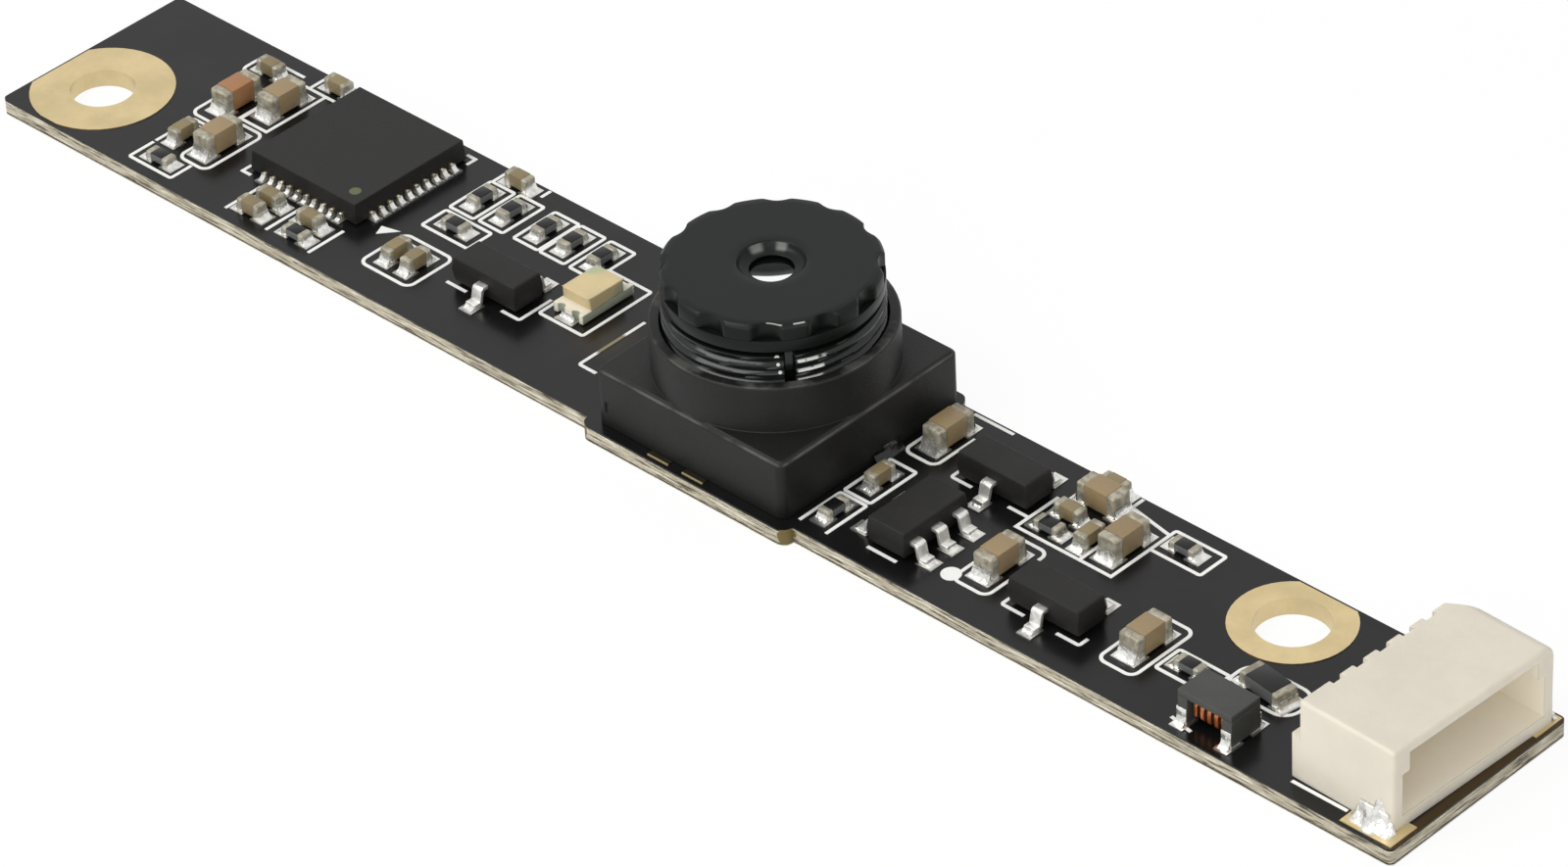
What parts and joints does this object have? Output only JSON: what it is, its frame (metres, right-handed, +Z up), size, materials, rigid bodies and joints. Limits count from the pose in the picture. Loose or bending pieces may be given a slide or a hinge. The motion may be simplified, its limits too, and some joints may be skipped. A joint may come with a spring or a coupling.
{
  "type": "strip camera module",
  "caption": "Narrow circuit board camera with a screw-in focus lens, controller chip, side-entry cable socket and two plated screw holes.",
  "frame": {"origin": "middle of the board's underside", "axes": "+X along the board towards the cable socket, +Z up through the lens"},
  "size_m": [0.06, 0.0088, 0.0064],
  "materials": {
    "solder_mask": "black solder mask, glossy",
    "gold": "soft gold plating",
    "white_ink": "printed white ink",
    "solder": "bright solder",
    "silicon": "dark sensor surface",
    "glass": "clear ground glass",
    "coated_glass": "coated front glass",
    "filter_glass": "pale blue-green filter glass",
    "holder_plastic": "fine moulded grey-black plastic",
    "lens_plastic": "black moulded lens barrel",
    "black_foil": "flat black",
    "glue": "dark cured glue",
    "moulding": "black moulding compound",
    "tin": "tinned metal",
    "light_resin": "cream cast resin",
    "brown_ceramic": "brown fired ceramic",
    "tan_ceramic": "tan fired ceramic",
    "white_ceramic": "white ceramic",
    "black_glaze": "black glaze",
    "ferrite": "dark grey ferrite",
    "copper": "enamelled copper wire",
    "socket_plastic": "beige heat-proof plastic"
  },
  "bodies": {
    "root": {"chip_solder": "solder", "choke_drum": "ferrite", "choke_plate": "ferrite", "choke_terminals": "tin", "choke_winding": "copper", "controller_body": "moulding", "controller_heat_pad": "tin", "controller_leads": "tin", "holder_glue": "glue", "image_sensor": "silicon", "large_capacitor_bodies": "brown_ceramic", "large_capacitor_caps": "tin", "left_ring": "gold", "lens_holder": "holder_plastic", "light_base": "light_resin", "light_terminals": "gold", "light_top": "light_resin", "marked_chip_body": "white_ceramic", "marked_chip_caps": "tin", "marked_chip_coat": "black_glaze", "printed_board": "solder_mask", "regulator_body": "moulding", "regulator_leads": "tin", "resistor_bodies": "white_ceramic", "resistor_caps": "tin", "resistor_coats": "black_glaze", "right_ring": "gold", "sensor_cover_glass": "glass", "sensor_solder_balls": "solder", "small_capacitor_bodies": "tan_ceramic", "small_capacitor_caps": "tin", "socket_contacts": "tin", "socket_housing": "socket_plastic", "socket_solder": "solder", "socket_tabs": "tin", "solder_lands": "gold", "transistor_1_body": "moulding", "transistor_1_leads": "tin", "transistor_2_body": "moulding", "transistor_2_leads": "tin", "transistor_3_body": "moulding", "transistor_3_leads": "tin", "white_ink": "white_ink"},
    "lens_glass": {"front_glass": "coated_glass", "aperture_stop": "black_foil", "middle_glass": "glass", "spacer_ring": "black_foil", "rear_glass": "glass", "infrared_filter": "filter_glass"},
    "lens": {"lens_barrel": "lens_plastic", "retaining_ring": "black_foil"}
  },
  "joints": [
    {"name": "focus_travel", "type": "slide", "parent": "root", "child": "lens_glass", "axis": [0, 0, 1], "range_m": [-0.00094, 0.00081]},
    {"name": "focus_turn", "type": "hinge", "parent": "lens_glass", "child": "lens", "pos_m": [0.002, 0, 0], "axis": [0, 0, 1], "range_deg": [-968, 834.2]}
  ],
  "couplings": [
    {"joint": "focus_turn", "follows": "focus_travel", "rad_per_m": 17952}
  ]
}
